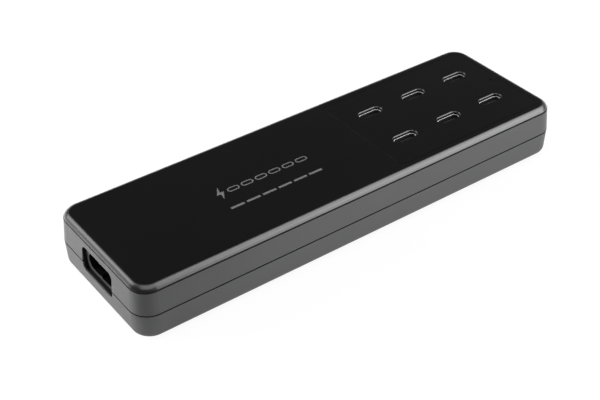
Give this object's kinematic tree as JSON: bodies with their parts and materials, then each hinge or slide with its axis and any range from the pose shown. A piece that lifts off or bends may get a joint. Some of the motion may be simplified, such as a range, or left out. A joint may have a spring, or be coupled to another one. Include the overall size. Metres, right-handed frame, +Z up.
{
  "type": "desktop_phone_charger",
  "caption": "Long flat black desktop phone charger with two rows of upright oval sockets in its top, a pinhole light and a two-pin mains inlet in one end.",
  "frame": {"origin": "On the surface the charger stands on, below the middle of the case's length and width", "axes": "+X runs along the length from the mains inlet to the status light, +Y across the width, +Z up out of the sockets"},
  "size_m": [0.168, 0.052, 0.02],
  "materials": {
    "case_grey": "fine satin texture",
    "cover_black": "satin, darker than the walls",
    "rubber": "dull",
    "steel": "zinc plated",
    "plated": "bright nickel",
    "inlet_black": "moulded, plain",
    "board": "green solder mask",
    "film": "thin insulating film",
    "blue_resin": "dipped resin",
    "yellow_plastic": "moulded box",
    "ferrite": "sintered, dull",
    "copper_wire": "enamelled copper wire",
    "aluminium": "plain extruded",
    "sleeve": "shrunk film sleeve",
    "tape": "yellow polyester tape",
    "white_plastic": "moulded, plain",
    "clear_plastic": "clear moulded plastic"
  },
  "bodies": {
    "root": {"lower_case": "case_grey", "upper_case": "case_grey", "top_cover": "cover_black", "port_panel": "cover_black", "rubber_foot_1": "rubber", "rubber_foot_2": "rubber", "rubber_foot_3": "rubber", "rubber_foot_4": "rubber", "case_screws": "steel", "inlet_body": "inlet_black", "inlet_pin_1": "plated", "inlet_pin_2": "plated", "main_board": "board", "port_board": "board", "insulating_sheet": "film", "board_screws": "steel", "link_header": "inlet_black", "fuse": "inlet_black", "varistor": "blue_resin", "x_capacitor": "yellow_plastic", "choke_core": "ferrite", "choke_winding": "copper_wire", "bridge_rectifier": "inlet_black", "power_transistor_1": "inlet_black", "power_transistor_2": "inlet_black", "heat_sink": "aluminium", "bulk_capacitor_1": "sleeve", "bulk_capacitor_2": "sleeve", "transformer_core_lower": "ferrite", "transformer_core_upper": "ferrite", "transformer_bobbin": "inlet_black", "transformer_winding": "tape", "y_capacitor": "blue_resin", "optocoupler": "white_plastic", "output_capacitor_1": "aluminium", "output_capacitor_2": "aluminium", "port_shell_1": "plated", "port_shell_2": "plated", "port_shell_3": "plated", "port_shell_4": "plated", "port_shell_5": "plated", "port_shell_6": "plated", "port_tongue_1": "inlet_black", "port_tongue_2": "inlet_black", "port_tongue_3": "inlet_black", "port_tongue_4": "inlet_black", "port_tongue_5": "inlet_black", "port_tongue_6": "inlet_black", "inductor_1": "ferrite", "inductor_2": "ferrite", "inductor_3": "ferrite", "inductor_4": "ferrite", "inductor_5": "ferrite", "inductor_6": "ferrite", "converter_chip_1": "inlet_black", "converter_chip_2": "inlet_black", "converter_chip_3": "inlet_black", "status_led": "white_plastic", "light_pipe": "clear_plastic"}
  },
  "joints": []
}
